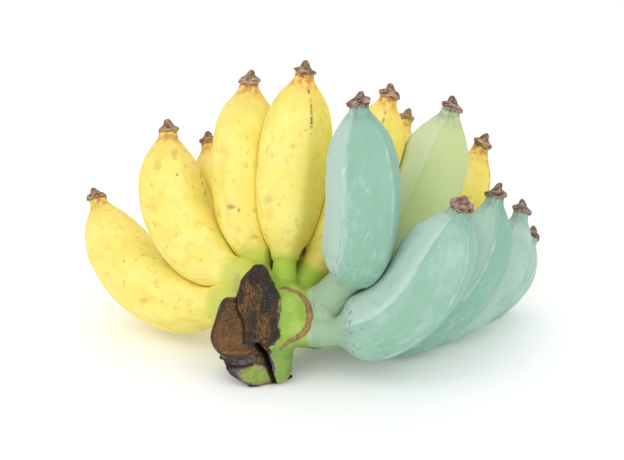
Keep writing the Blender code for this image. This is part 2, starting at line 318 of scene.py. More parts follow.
def make_object(name, vertices, faces, values, material):
    """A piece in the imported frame, with its values at each vertex, that rides on the root."""
    mesh = bpy.data.meshes.new(name)
    mesh.from_pydata(((vertices - FOOTPRINT_MIDDLE) * MM).tolist(), [], faces)
    for key, value in values.items():
        kind = "FLOAT_VECTOR" if value.ndim == 2 else "FLOAT"
        layer = mesh.attributes.new(key, kind, "POINT")
        layer.data.foreach_set("vector" if value.ndim == 2 else "value", value.astype(np.float32).ravel())
    mesh.materials.append(material)
    mesh.shade_smooth()
    mesh.update()
    obj = add_object(name, mesh)
    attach(obj, "root")
    return obj


def make_finger(number, finger, material):
    line = LINES[finger.name]
    length = line.lengths[-1]
    flesh_length = length - finger.stalk
    angles = np.arange(SIDES) * 2 * math.pi / SIDES
    shares = np.concatenate([
        np.linspace(0, 0.10, 12), np.linspace(0.11, 0.86, 66), np.linspace(0.866, 0.926, 14),
        np.linspace(0.9275, 0.9700, 32), np.linspace(0.9715, 0.9990, 18),
    ])
    stations = np.concatenate([
        np.linspace(0.02, 0.95, 14) * finger.stalk, finger.stalk + shares * flesh_length,
    ])
    share = (stations - finger.stalk) / flesh_length
    centres, across, side = read_line(line, stations)

    coarse_stations = np.linspace(0, length, COARSE_STATIONS)
    coarse_angles = np.arange(COARSE_SIDES) * 2 * math.pi / COARSE_SIDES
    limit = room_round(finger, coarse_stations, coarse_angles)
    roll = math.radians(finger.roll)
    turned = (angles + roll) % (2 * math.pi)
    limit = spread(soften(limit, 1), coarse_stations, coarse_angles, stations, turned)

    # Places on the peel, in millimetres along and round it, different for every finger.
    base = radius_at(finger, stations, length)
    calm = np.maximum(base, 5)[:, None]
    place = np.stack([
        calm * np.cos(angles), calm * np.sin(angles), np.repeat(stations[:, None], SIDES, 1),
    ], -1) + np.array([97.3, 41.7, 67.9]) * (number + 1)

    kind = finger.name.split("_")[0]
    ridge = np.cos(RIDGES * angles)[None] * np.ones_like(base)[:, None]
    lump = RIDGE[kind] * (ridge + 0.3 * np.cos(2 * RIDGES * angles)[None])
    flesh = np.clip((stations - finger.stalk) / 10, 0, 1)[:, None]
    neck = smoothstep(0.915, 0.86, share)[:, None]
    cap = smoothstep(CAP_START - 0.003, CAP_START + 0.002, share)[:, None] * np.ones_like(ridge)
    radius = base[:, None] * (1 + (0.35 + 0.65 * neck) * flesh * (1 - cap) * lump)
    dents = 0.30 * noise(place / 17, 3) + 0.16 * noise(place / 7, 4) + 0.05 * noise(place / 2.6, 5)
    radius = radius + dents * (1 - cap) * np.clip(base / 12, 0, 1)[:, None]
    crumple = 0.9 * noise(place / (4.2, 4.2, 2.6), 6) + 0.5 * noise(place / (1.9, 1.9, 0.9), 7)
    pleat = 0.35 * np.cos(6 * angles + 5 * noise(place / (4, 4, 3), 8))
    radius = radius + cap * (crumple + pleat) * np.clip(base / 8, 0, 0.8)[:, None]
    radius = smooth_min(radius, limit, 0.9)
    tilt = cap * (1.0 * np.cos(angles + 2.4 * number) + 0.8 * noise(place / 3.5, 9))
    lean = 1.2 * smoothstep(0.955, 1.0, share)
    bend = np.cos(1.7 * number) * across + np.sin(1.7 * number) * side

    rays = np.cos(turned)[None, :, None] * across[:, None] + np.sin(turned)[None, :, None] * side[:, None]
    tangent = np.cross(across, side)
    rings = centres[:, None] + rays * np.maximum(radius, 0.2)[..., None]
    rings = rings + tangent[:, None] * (tilt * np.clip(base / 6, 0, 1)[:, None])[..., None]
    rings = rings + (lean[:, None] * bend)[:, None]
    rings[..., 2] = np.maximum(rings[..., 2], 0.02)
    count = len(stations)
    tip = rings[-1].mean(0)[None] + tangent[-1] * 0.1
    vertices = np.concatenate([rings.reshape(-1, 3), centres[:1], tip])
    ring, step = np.meshgrid(np.arange(count - 1), np.arange(SIDES), indexing="ij")
    following = (step + 1) % SIDES
    a, b = ring * SIDES + step, ring * SIDES + following
    faces = np.stack([a, b, b + SIDES, a + SIDES], -1).reshape(-1, 4).tolist()
    first, last, top = count * SIDES, count * SIDES + 1, (count - 1) * SIDES
    faces += [(i, first, (i + 1) % SIDES) for i in range(SIDES)]
    faces += [(top + i, top + (i + 1) % SIDES, last) for i in range(SIDES)]

    # Each of the five faces between two ridges has its own tone: the bloom lies on one side, and the faces
    # turned away from that side get painted shade.
    sector = (angles / (2 * math.pi) * RIDGES) % RIDGES
    index = sector.astype(int)
    middle = int(np.argmin(np.abs(share - 0.5)))
    face_rays = rays[middle][np.round((np.arange(RIDGES) + 0.5) * SIDES / RIDGES).astype(int) % SIDES]
    tones = face_rays @ unit(BLOOM_AND_LIT_SIDE)
    width = 0.20 if is_yellow(finger) else 0.07
    before = smoothstep(width, -width, sector - index)
    after = smoothstep(-width, width, sector - index - 1)
    face = (
        tones[index] * (1 - before - after) + tones[(index - 1) % RIDGES] * before
        + tones[(index + 1) % RIDGES] * after
    )
    streak = np.zeros_like(ridge)
    if finger.name in STREAKS:
        toward, start, stop = STREAKS[finger.name]
        middle = int(np.argmin(np.abs(share - (start + stop) / 2)))
        ray_at_ridges = rays[middle][np.round(np.arange(RIDGES) * SIDES / RIDGES).astype(int)]
        best = int(np.argmax(ray_at_ridges @ unit(toward)))
        turn = (angles - best * 2 * math.pi / RIDGES + math.pi) % (2 * math.pi) - math.pi
        away = np.abs(turn[None] * base[:, None] + 0.3 * noise(place / 9, 14))
        span = smoothstep(start, start + 0.03, share) * smoothstep(stop, stop - 0.01, share)
        streak = smoothstep(0.62, 0.15, away) * span[:, None]
    seen_up = rings[..., 2] * math.cos(CAMERA_ELEVATION) + rings[..., 1] * math.sin(CAMERA_ELEVATION)
    mark = np.zeros_like(ridge)
    for x, up, half_width, half_height, dark in MARKS.get(finger.name, []):
        away = np.hypot((rings[..., 0] - x) / half_width, (seen_up - up) / half_height)
        away = away + 0.35 * noise(place / 1.6, 15)
        mark = np.maximum(mark, dark * smoothstep(1.25, 0.75, away) * (rays[..., 1] < 0))
    ahead = stations - finger.stalk
    stem = greenness(finger, ahead) if is_yellow(finger) else smoothstep(15, -5, ahead)
    values = {
        "place": place, "share": share[:, None], "stem": stem[:, None], "mark": mark,
        "bloom": np.array([[BLOOM.get(finger.name, 0.0)]]), "face": face[None], "streak": streak,
        "collar": smoothstep(0.918, 0.932, share)[:, None] * (1 - cap), "ridge": ridge, "cap": cap,
        "nub": smoothstep(0.957, 0.970, share)[:, None],
        "pressed": smoothstep(1.2, 0.0, limit - base[:, None] * (1 + lump)),
    }
    for key, table in values.items():
        table = np.broadcast_to(table, ridge.shape + table.shape[2:])
        values[key] = np.concatenate([table.reshape(-1, *table.shape[2:]), table[0, :1], table[-1, :1]])
    obj = make_object("peel_" + finger.name, vertices, faces, values, material)
    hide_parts("finger_" + finger.name)
    return obj


# --- the crown ---

KNIT = 4.0  # how softly the crown's parts flow into each other
GRID_LOW, GRID_HIGH = np.array([-66.0, -84.0, -2.0]), np.array([34.0, 30.0, 72.0])
COARSE, FINE = 1.6, 0.62
# Raised strips of dried skin on the crown's flank: points as (x, z) seen from the front, with radii.
BRACT_SCAR = [
    (-17.3, 50.1, 0.33), (-14.3, 50.8, 0.41), (-11.3, 50.0, 0.49), (-8.1, 49.0, 0.66), (-4.8, 46.0, 0.90),
    (-2.3, 42.3, 1.07), (-1.1, 37.3, 1.23), (-1.9, 33.6, 1.15), (-4.9, 29.6, 1.07), (-8.7, 27.0, 0.82),
    (-12.9, 24.1, 0.57), (-17.0, 21.3, 0.33),
]
SLIVER = [(-18.8, 50.0, 0.3), (-18.2, 48.0, 0.8), (-17.6, 45.0, 0.8), (-17.2, 41.5, 0.3)]
TWIG = [((-15, -57, 4.5), 1.6), ((-12.6, -58, 2.6), 1.3), ((-11.2, -58.2, 3.0), 0.8)]
# Lumps that fill the gaps behind the stalks; their dark colour is painted shade.
WEB = [((-22, -6, 40), 7, (-21, -4, 49), 6.5), ((-7, -4, 48), 7.5, (-4, -3, 53), 7)]
KNOB = ((-30.8, -50.5, 58.0), 4.6, (-29.6, -49.4, 61.6), 3.6)
# The shoulders of the upper lobe slope to its point: in the frame of the cut, a point of each
# slope and the way the slope faces.
SHOULDERS = [
    ((20.3, 23.4), (0.856, 0.518)), ((-6.4, 33.8), (-0.762, 0.648)), ((-6.9, 24.9), (-0.988, 0.155)),
]
SHOULDER_FOOT = 25  # the last slope trims only what is higher than this
# Where blue-green skin starts on the crown's right flank, as heights and places across.
FLANK = [(14, 26, 38, 48, 52, 56), (2, -3, 0, -5, -9, -12)]


def cone_distance(points, piece):
    p, r, q, s = piece
    return skin_distance(points, np.array([p, q], float), np.array([r, s], float))


def grown(points, knit, pieces, skin=None):
    """Rounded pieces that flow into each other, and into a skin if there is one already."""
    for piece in pieces:
        gap = cone_distance(points, piece)
        skin = gap if skin is None else smooth_min(skin, gap, knit)
    return skin


def crown_body(points):
    """The crown before the knife: its rounded parts and the lower stalks, grown together."""
    skin = grown(points, KNIT, CUSHION + WEB)
    trunk = grown(points, 2.5, (BLOCK[0], BLOCK[1], BLOCK[4]))
    across, up, _ = on_cut(points)
    slopes = [(across - a) * n + (up - b) * m for (a, b), (n, m) in SHOULDERS]
    slopes[2] = np.minimum(slopes[2], up - SHOULDER_FOOT)
    trunk = -smooth_min(-trunk, -np.max(slopes, axis=0), 3.0)
    trunk = grown(points, 2.0, [KNOB], trunk)
    trunk = grown(points, 3.0, BLOCK[2:4], trunk)
    skin = smooth_min(skin, trunk, KNIT)
    for finger in FINGERS:
        line = LINES[finger.name]
        stations = np.linspace(0, 0.85, 7) * finger.stalk
        centres, _, _ = read_line(line, stations)
        radii = np.interp(stations, line.lengths, line.radii) + np.linspace(0.5, -0.7, 7)
        skin = smooth_min(skin, skin_distance(points, centres, radii), KNIT)
    return skin


def seat_on_skin(x, z):
    """The front point of the crown's skin at a place seen from the front."""
    y = np.arange(-90.0, -25.0, 0.25)
    line = np.stack([np.full_like(y, x), y, np.full_like(y, z)], -1)
    inside = np.nonzero(crown_body(line) < 0)[0]
    return line[inside[0]] if len(inside) else np.array([x, -45.0, z])


def path_distance(a, b, path):
    """Distance in the cut plane from (a, b) to a path."""
    best = np.full(np.shape(a), 1e9)
    for (pa, pb), (qa, qb) in zip(path[:-1], path[1:]):
        da, db = qa - pa, qb - pb
        t = np.clip(((a - pa) * da + (b - pb) * db) / (da * da + db * db), 0, 1)
        best = np.minimum(best, np.hypot(a - pa - t * da, b - pb - t * db))
    return best


def follow(path, x):
    return np.interp(x, *np.array(path).T)


# The cut face, in millimetres across (a) and up (b) the knife's plane from CUT_POINT.
LOBE_CRACK = [(-9, 44), (-7, 35), (-6, 27.4), (-4.7, 19.3), (-2.9, 16.5), (0, 11.5), (0.9, 5.5), (0.8, 1.2)]
LEDGE = [(-1, 1.8), (4.8, 0.5), (8.8, 2.8), (12, 2.0), (16, -1.5), (20, -3)]
RIM = [(-17, -4.5), (-14.7, -5.2), (-10, -6.9), (-3, -6.7), (1, -6.3), (3, -5.6), (6, -4.5), (6.6, 0.5)]
DEEP_CRACK = [(7.2, 0.6), (9.5, -1.6), (11.8, -3.6), (14.5, -10.1), (16.9, -17), (17.8, -23)]
FACE_RIGHT = [
    (-26, 18), (-20.6, 17.2), (-9.9, 15.5), (-1.2, 14.2), (3.1, 17.3), (6.5, 20.5), (11.9, 18.4),
    (25.2, 17.6), (29.8, 18.1), (33.9, 16.3), (37.9, 13.2), (42.1, 10),
]
SLAB_LEFT = [
    (-25, 6), (-20.9, 2.5), (-19.5, -1.5), (-17.1, -6.8), (-14.4, -9.5), (-11.3, -10.6), (-9.7, -11.1),
    (-9, -30),
]
CHAR = [(6, 40), (11, 34), (13.5, 27), (11.5, 21)]
MAP_LOW, MAP_STEP, MAP_SIZE = (-32.0, -32.0), 0.25, (272, 352)


def cut_maps():
    """Height of the cut face above the knife's plane, and where its tissues show, on a fine map."""
    a = MAP_LOW[0] + MAP_STEP * np.arange(MAP_SIZE[0])[:, None] + np.zeros(MAP_SIZE[1])
    b = MAP_LOW[1] + MAP_STEP * np.arange(MAP_SIZE[1])[None] + np.zeros(MAP_SIZE)

    def flat(scale_a, scale_b, seed):
        return noise(np.stack([a / scale_a, b / scale_b, 0 * a + seed * 7.3], -1), seed)

    ragged = 0.8 * flat(2.6, 2.6, 31) + 0.5 * flat(1.2, 1.2, 32)
    crack_a = np.interp(b, *np.array(LOBE_CRACK[::-1]).T[::-1]) + 0.6 * ragged
    ledge_b = follow(LEDGE, a) + 0.7 * ragged
    rim_b = follow(RIM, a) + 0.3 * ragged
    upper = smoothstep(-0.5, 0.5, a - crack_a) * smoothstep(-0.4, 0.4, b - ledge_b)
    below = rim_b - b
    plate = -1.6 - 0.9 * np.exp(-((a + 7) ** 2 / 50 + (b - 8) ** 2 / 130))
    bevel = -1.6 - 2.9 * np.clip(below / 4.4, 0, 1) ** 1.5
    pit = -4.6 + 0.5 * ragged
    slab = -5.0 - 1.8 * np.exp(-((below - 5.6) / 0.8) ** 2)
    left = smoothstep(6.4, 5.4, a + 0.4 * ragged)
    height = np.where(below < 0, plate, np.where(below < 4.4, bevel, slab))
    height = height * left + (1 - left) * np.where(b > -8.2, pit, slab)
    striation = smoothstep(0, 0.8, below) * smoothstep(5.0, 4.2, below) * left
    height = height + 0.7 * striation * flat(1.5, 9, 33)
    height = height * (1 - upper) + upper * (0.9 * np.exp(-((a - 5) ** 2 / 90 + (b - 22) ** 2 / 240)) - 0.2)
    rough = 0.40 + 0.60 * upper + 0.5 * (1 - left) * (b > -8.2)
    height = height + rough * (0.9 * flat(5.5, 8, 34) + 0.7 * flat(2.2, 3.4, 35) + 0.4 * flat(1.0, 1.5, 36))
    lobe_crack = path_distance(a, b, LOBE_CRACK) + 0.4 * ragged
    deep_crack = path_distance(a, b, DEEP_CRACK) + 0.25 * ragged
    height = height - 2.2 * np.exp(-(lobe_crack / 0.9) ** 2) * smoothstep(36, 28, b)
    height = height - 9.0 * smoothstep(1.7, 0.9, deep_crack)
    height = height + 3.0 * np.clip(a - 19.5, 0, None)
    outside = smoothstep(0.4, -0.4, a - follow(SLAB_LEFT, b) + 0.5 * ragged)
    height = height - 34 * outside
    speckle = flat(1.5, 1.8, 37) + 0.8 * flat(4.5, 5, 38)
    char = smoothstep(4.4, 2.4, path_distance(a, b, CHAR) + 1.3 * ragged + 1.8 * speckle) * upper
    lawn = np.hypot((a - 7.8) / 7.0, (b + 15.6) / 4.2) + 0.12 * ragged
    notch = smoothstep(1.6, 0.7, np.hypot(a - 10.4, (b + 11.9) / 2.2) + 0.2 * ragged)
    patch = smoothstep(1.12, 0.85, lawn) * (1 - notch)
    fringe = smoothstep(1.55, 1.05, lawn)
    lip = smoothstep(1.3, 0.3, np.abs(b - rim_b - 1.8 + 0.4 * ragged)) * smoothstep(6, 4, a)
    ledge_wall = smoothstep(1.5, 0.6, np.abs(ledge_b - b + 0.5)) * smoothstep(9.5, 8, a) * (a > -1.5)
    # Painted shade in the cracks and in the recess under the rim.
    groove = np.clip(
        np.exp(-(lobe_crack / 0.8) ** 2) * smoothstep(36, 28, b) + smoothstep(1.9, 1.3, deep_crack)
        + 0.8 * np.exp(-((below - 5.4) / 1.0) ** 2) * (a > -11) * (a < 14), 0, 1)
    slab_area = smoothstep(5.2, 6.2, below + 1.2 * (1 - left)) * smoothstep(0.5, -0.5, b + 8.5)
    face = smoothstep(0.7, -0.7, a - follow(FACE_RIGHT, b) + 0.7 * ragged)
    margin = smoothstep(4.0, 2.2, deep_crack + 0.6 * flat(3.5, 4.5, 39)) * (a > 7) * smoothstep(-16, -12, b)
    return {
        "face": face, "margin": margin, "fringe": fringe, "lip": lip, "height": height,
        "pit": (1 - left) * (1 - upper) * smoothstep(-8.6, -7.6, b), "char": char, "patch": patch,
        "wall": np.clip(striation + ledge_wall, 0, 1), "groove": groove, "upper": upper, "slab": slab_area,
    }


def read_table(table, low, step, places):
    """Read a table on a regular grid, of any number of axes, between its points."""
    x = np.clip((places - low) / step, 0, np.array(table.shape) - 1.001)
    cell = x.astype(int)
    part = x - cell
    total = 0
    for corner in np.ndindex(*(2,) * table.ndim):
        weight = np.prod(np.where(corner, part, 1 - part), axis=-1)
        total = total + weight * table[tuple((cell + corner).T)]
    return total


def read_map(table, a, b):
    """Read a map of the cut face between its points."""
    return read_table(table, MAP_LOW, MAP_STEP, np.stack([a, b], -1))


def on_cut(points):
    """Places in the frame of the cut: across, up and out of the knife's plane."""
    offset = points - CUT_POINT
    return offset @ CUT_ACROSS, offset @ CUT_UP, offset @ CUT_NORMAL


def finer(count, coarse_count):
    """Weights that read a coarse grid line at fine steps with a smooth curve."""
    x = np.clip(np.arange(count) * FINE / COARSE, 0, coarse_count - 1.001)
    i, t = x.astype(int), x - x.astype(int)
    weights = np.zeros((count, coarse_count))
    curve = [
        (-t + 2 * t ** 2 - t ** 3) / 2, (2 - 5 * t ** 2 + 3 * t ** 3) / 2,
        (t + 4 * t ** 2 - 3 * t ** 3) / 2, (-t ** 2 + t ** 3) / 2,
    ]
    for k, w in enumerate(curve):
        np.add.at(weights, (np.arange(count), np.clip(i + k - 1, 0, coarse_count - 1)), w)
    return weights


def surface_net(field, low, step):
    """A closed mesh of quads where a field on a grid crosses zero."""
    inside = field < 0
    size = np.array(field.shape) - 1
    corners = [np.array(c) for c in np.ndindex(2, 2, 2)]
    window = lambda f, c: f[c[0]:c[0] + size[0], c[1]:c[1] + size[1], c[2]:c[2] + size[2]]
    filled = sum(window(inside, c).astype(np.int8) for c in corners)
    mixed = (filled > 0) & (filled < 8)
    index = np.full(mixed.shape, -1)
    cells = np.argwhere(mixed)
    index[mixed] = np.arange(len(cells))
    total, number = np.zeros((len(cells), 3)), np.zeros(len(cells))
    for c in corners:
        for axis in range(3):
            if c[axis] == 0:
                d = c.copy()
                d[axis] = 1
                f, g = field[tuple((cells + c).T)], field[tuple((cells + d).T)]
                crossing = (f < 0) != (g < 0)
                t = f[crossing] / (f[crossing] - g[crossing])
                total[crossing] += c + t[:, None] * (d - c)
                number[crossing] += 1
    vertices = low + (cells + total / number[:, None]) * step
    faces = []
    for axis in range(3):
        one, two = [k for k in range(3) if k != axis]
        head = [slice(None)] * 3
        tail = [slice(None)] * 3
        head[axis], tail[axis] = slice(None, -1), slice(1, None)
        rising = inside[tuple(head)] & ~inside[tuple(tail)]
        falling = ~inside[tuple(head)] & inside[tuple(tail)]
        for crossing, order in ((rising, (0, 1, 2, 3)), (falling, (3, 2, 1, 0))):
            edge = np.argwhere(crossing)
            shift = np.zeros((4, 3), int)
            shift[1, one] = shift[2, one] = shift[2, two] = shift[3, two] = -1
            if axis == 1:
                order = order[::-1]
            quad = np.stack([index[tuple((edge + shift[k]).T)] for k in order], -1)
            faces.append(quad)
    return vertices, np.concatenate(faces)


def largest_part(vertices, faces):
    """Keep the one biggest connected part of a mesh."""
    label = np.arange(len(vertices))
    edges = np.concatenate([faces[:, [0, 1]], faces[:, [1, 2]], faces[:, [2, 3]]])
    while True:
        least = np.minimum(label[edges[:, 0]], label[edges[:, 1]])
        changed = label.copy()
        np.minimum.at(changed, edges[:, 0], least)
        np.minimum.at(changed, edges[:, 1], least)
        changed = changed[changed]
        if (changed == label).all():
            break
        label = changed
    keep = label == np.bincount(label).argmax()
    renumber = np.cumsum(keep) - 1
    return vertices[keep], renumber[faces[keep[faces[:, 0]]]]


def make_crown(material):
    maps = cut_maps()
    coarse_count = (np.ceil((GRID_HIGH - GRID_LOW) / COARSE) + 1).astype(int)
    axes = [GRID_LOW[k] + COARSE * np.arange(coarse_count[k]) for k in range(3)]
    coarse = crown_body(np.stack(np.meshgrid(*axes, indexing="ij"), -1))
    fine_count = ((coarse_count - 1) * COARSE / FINE).astype(int)
    body = coarse
    for k in range(3):
        body = np.moveaxis(np.tensordot(finer(fine_count[k], coarse_count[k]), body, (1, k)), 0, k)
    axes = [GRID_LOW[k] + FINE * np.arange(fine_count[k]) for k in range(3)]
    grid = np.stack(np.meshgrid(*axes, indexing="ij"), -1)

    # Small unevenness of the skin, and the raised strips.
    close = np.abs(body) < 4
    body[close] += 0.25 * noise(grid[close] / 8, 21) + 0.10 * noise(grid[close] / 2.7, 22)
    strips = [np.array([seat_on_skin(x, z) for x, z, _ in path]) for path in (BRACT_SCAR, SLIVER)]
    radii = [np.array([r for _, _, r in path]) for path in (BRACT_SCAR, SLIVER)]
    strips.append(np.array([p for p, _ in TWIG], float))
    radii.append(np.array([r for _, r in TWIG]))
    strip = np.full(body.shape, 9.0)
    for centres, width in zip(strips, radii):
        box = ((grid > centres.min(0) - 5) & (grid < centres.max(0) + 5)).all(-1)
        strip[box] = np.minimum(strip[box], skin_distance(grid[box], centres, width))
    body = smooth_min(body, strip, 0.7)
    across, up, out = on_cut(grid)
    reach = (out > -40) & (body < 4) & (across > -31) & (across < 34) & (up > -31) & (up < 54)
    cut = np.full(body.shape, -50.0)
    cut[reach] = out[reach] - read_map(maps["height"], across[reach], up[reach])
    solid = np.maximum(np.maximum(body, cut), TABLE_GAP - grid[..., 2])
    for k in range(3):
        edge = [slice(None)] * 3
        for edge[k] in (0, -1):
            solid[tuple(edge)] = np.maximum(solid[tuple(edge)], 0.5)
    vertices, faces = surface_net(solid, GRID_LOW, FINE)
    vertices, faces = largest_part(vertices, faces)
    vertices[:, 2] = np.maximum(vertices[:, 2], 0.0)

    depth = -read_table(body, GRID_LOW, FINE, vertices)
    across, up, out = on_cut(vertices)
    read = lambda key: read_map(maps[key], across, up)
    height = read("height")
    ragged = noise(vertices / 2.3, 23)
    deepest = np.where(up < -8, -15.0, np.where(across > 0, -5.0, -2.0))
    shorn = smoothstep(0.25, 0.9, depth + 0.2 * ragged) * (out > -32)
    beside_crack = smoothstep(10, 13, across) * smoothstep(3, 0, up)
    calm = 1 - 0.8 * beside_crack
    shorn = np.maximum(shorn, read("face") * smoothstep(-1.2, 0.6, out - deepest + ragged * calm))
    left_or_top = np.maximum(smoothstep(2, -4, across), smoothstep(28, 36, up))
    reach = 4.0 + 9.0 * left_or_top - 2.2 * beside_crack
    edge = smoothstep(-reach, -0.2 * reach, out - height + 0.8 * ragged) * (across < 21)
    edge = np.maximum(edge, read("margin"))
    rim = shorn * smoothstep(2.6, 0.6, depth + 0.6 * ragged)
    blue = green = np.full(len(vertices), 99.0)
    ripe = np.zeros(len(vertices))
    for finger in FINGERS:
        line = LINES[finger.name]
        apart = skin_distance(vertices, line.points[:GROWN_POINTS], line.radii[:GROWN_POINTS])
        if is_yellow(finger):
            green = np.minimum(green, apart)
            gaps = np.linalg.norm(vertices[:, None] - line.points[None, :GROWN_POINTS], axis=-1)
            ahead = line.lengths[gaps.argmin(1)] - finger.stalk
            ripe = np.maximum(ripe, (1 - greenness(finger, ahead)) * smoothstep(7, 0.5, apart))
        else:
            blue = np.minimum(blue, apart)
    nearest = lambda pieces: np.min([cone_distance(vertices, piece) for piece in pieces], axis=0)
    green = np.minimum(green, nearest(CUSHION[:2] + BLOCK))
    blue = np.minimum(blue, np.minimum(nearest(CUSHION[3:4]), nearest(CUSHION[2:3]) + 1))
    right_of_scar = smoothstep(-1.2, 1.2, vertices[:, 0] - np.interp(vertices[:, 2], *FLANK))
    # Painted shade: the lumps between the stalks are marked to be painted dark brown.
    web = smoothstep(1.5, -0.2, nearest(CUSHION[4:] + WEB))
    web = web * smoothstep(38, 43, vertices[:, 2]) * smoothstep(-2, -8, vertices[:, 1])
    blueness = smoothstep(-1.5, 1.5, green - blue) * right_of_scar * (1 - web)
    dry = read_table(strip, GRID_LOW, FINE, vertices)
    twig = smoothstep(1.0, 0.3, skin_distance(vertices, strips[2], radii[2]))
    burnt = np.maximum(twig, smoothstep(1.2, -2.2, cone_distance(vertices, KNOB) - 1.3 * ragged))
    values = {
        "place": vertices + 300.0,
        "cut": shorn, "edge": edge, "rim": rim, "blue": blueness, "ripe": ripe, "web": web,
        "scar": smoothstep(0.8, 0.25, dry + 0.1 * ragged) * (1 - shorn), "burnt": burnt,
        "high": vertices[:, 2].copy(),
    }
    for key in ("char", "patch", "fringe", "lip", "groove", "upper"):
        values[key] = read(key)
    for key in ("pit", "wall", "slab"):
        values[key] = read(key) * shorn
    obj = make_object("crown_stalk", vertices, faces.tolist(), values, material)
    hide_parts("crown")
    return obj


# --- materials ---


def linear(colour):
    """A colour as it is seen on a screen, 0 to 255, as linear light."""
    share = np.array(colour) / 255
    light = np.where(share <= 0.04045, share / 12.92, ((share + 0.055) / 1.055) ** 2.4)
    return (*light.tolist(), 1.0)


def fill(node, inputs):
    """Set or link a node's inputs, each by its name, or by its number where names repeat."""
    for key, value in inputs.items():
        if isinstance(value, bpy.types.NodeSocket):
            node.id_data.links.new(value, node.inputs[key])
        else:
            node.inputs[key].default_value = value


class Recipe:
    """Builds one material's nodes with short calls.

    A value is a socket or a plain number, a colour is a socket or (red, green, blue) as on a screen.
    """

    def __init__(self, name):
        self.material = bpy.data.materials.new(name)
        self.material.use_nodes = True
        self.shader = self.material.node_tree.nodes["Principled BSDF"]
        self.place = self.read("place", "Vector")

    def add(self, kind, inputs, **settings):
        """Add a node and give back its outputs."""
        node = self.material.node_tree.nodes.new("ShaderNode" + kind)
        for key, value in settings.items():
            setattr(node, key, value)
        fill(node, inputs)
        return node.outputs

    def read(self, name, output="Fac"):
        return self.add("Attribute", {}, attribute_name=name)[output]

    def math(self, operation, *values):
        return self.add("Math", dict(enumerate(values)), operation=operation)[0]

    def plus(self, first, *values):
        for value in values:
            first = self.math("ADD", first, value)
        return first

    def times(self, first, *values):
        for value in values:
            first = self.math("MULTIPLY", first, value)
        return first

    def squeezed(self, x, y, z, shift=0.0):
        """The peel's own place, squeezed along its axes."""
        return self.add("Mapping", {"Vector": self.place, "Scale": (x, y, z), "Location": (shift,) * 3})[0]

    def noise(self, size, detail=2.0, rough=0.5, squeeze=None, warp=0.0):
        """Noise with lumps about that many millimetres across, from 0 to 1."""
        return self.add("TexNoise", {
            "Vector": self.squeezed(*squeeze) if squeeze else self.place, "Scale": 1 / size,
            "Detail": detail, "Roughness": rough, "Distortion": warp})["Fac"]

    def band(self, value, low, high, top=1.0):
        """0 below low and top above high, with soft ends; low may be the larger."""
        ends = (low, high, 0.0, top) if low <= high else (high, low, top, 0.0)
        inputs = dict(zip(("From Min", "From Max", "To Min", "To Max"), ends), Value=value)
        return self.add("MapRange", inputs, interpolation_type="SMOOTHSTEP")["Result"]

    def spots(self, spacing, radius, share, squeeze=None):
        """Random dots: one in each cell of that spacing, for a share of the cells."""
        cells = self.add("TexVoronoi", {
            "Vector": self.squeezed(*squeeze) if squeeze else self.place, "Scale": 1 / spacing})
        draw = self.add("SeparateColor", {0: cells["Color"]})
        size = radius / spacing
        wobble = self.times(self.noise(radius * 1.2, 1.0), size)
        gap = self.math("SUBTRACT", self.plus(cells["Distance"], wobble), self.times(draw[1], size))
        inside = self.band(gap, 0.75 * size, 0.35 * size)
        return self.times(inside, self.math("LESS_THAN", draw[0], share))

    def mix(self, amount, one, two):
        """A colour that goes from one to two."""
        one, two = (linear(c) if isinstance(c, tuple) else c for c in (one, two))
        return self.add("Mix", {0: amount, 6: one, 7: two}, data_type="RGBA")[2]

    def blend(self, amount, one, two):
        """A number that goes from one to two."""
        return self.add("Mix", {0: amount, 2: one, 3: two}, data_type="FLOAT")[0]

    def coats(self, base, *coats):
        """Lay coats over a colour, one after the other; each is an amount and a colour."""
        for amount, coat in coats:
            base = self.mix(amount, base, coat)
        return base

    def finish(self, base, roughness, relief, depth, specular, sheen=0.0):
        """Join the colour, roughness and relief, whose full height is depth millimetres."""
        bump = self.add("Bump", {"Distance": depth * MM, "Strength": 1.0, "Height": relief})
        fill(self.shader, {
            "Base Color": base, "Roughness": roughness, "Specular IOR Level": specular,
            "Sheen Weight": sheen, "Normal": bump[0]})
        return self.material


def cap_look(r, base, roughness, relief, dark, light, tint):
    """Paint the dried woody cap, its dark lower edge and its nub over a peel."""
    rings = r.noise(1.5, 4.0, 0.65, (0.35, 0.35, 1.5, 9))
    broad = r.noise(2.6)
    wood = r.coats(
        r.mix(r.band(rings, 0.36, 0.62), dark, light),
        (r.band(broad, 0.50, 0.70, 0.6), tint),
        (r.times(r.read("nub"), r.band(broad, 0.62, 0.40, 0.6)), (84, 60, 48)))
    cap = r.read("cap")
    collar = r.times(r.read("collar"), r.band(r.noise(1.8), 0.35, 0.6, 0.8))
    return (
        r.coats(base, (collar, (92, 52, 34)), (cap, wood)), r.blend(cap, roughness, 0.85),
        r.blend(cap, relief, r.times(rings, 2.2)),
    )


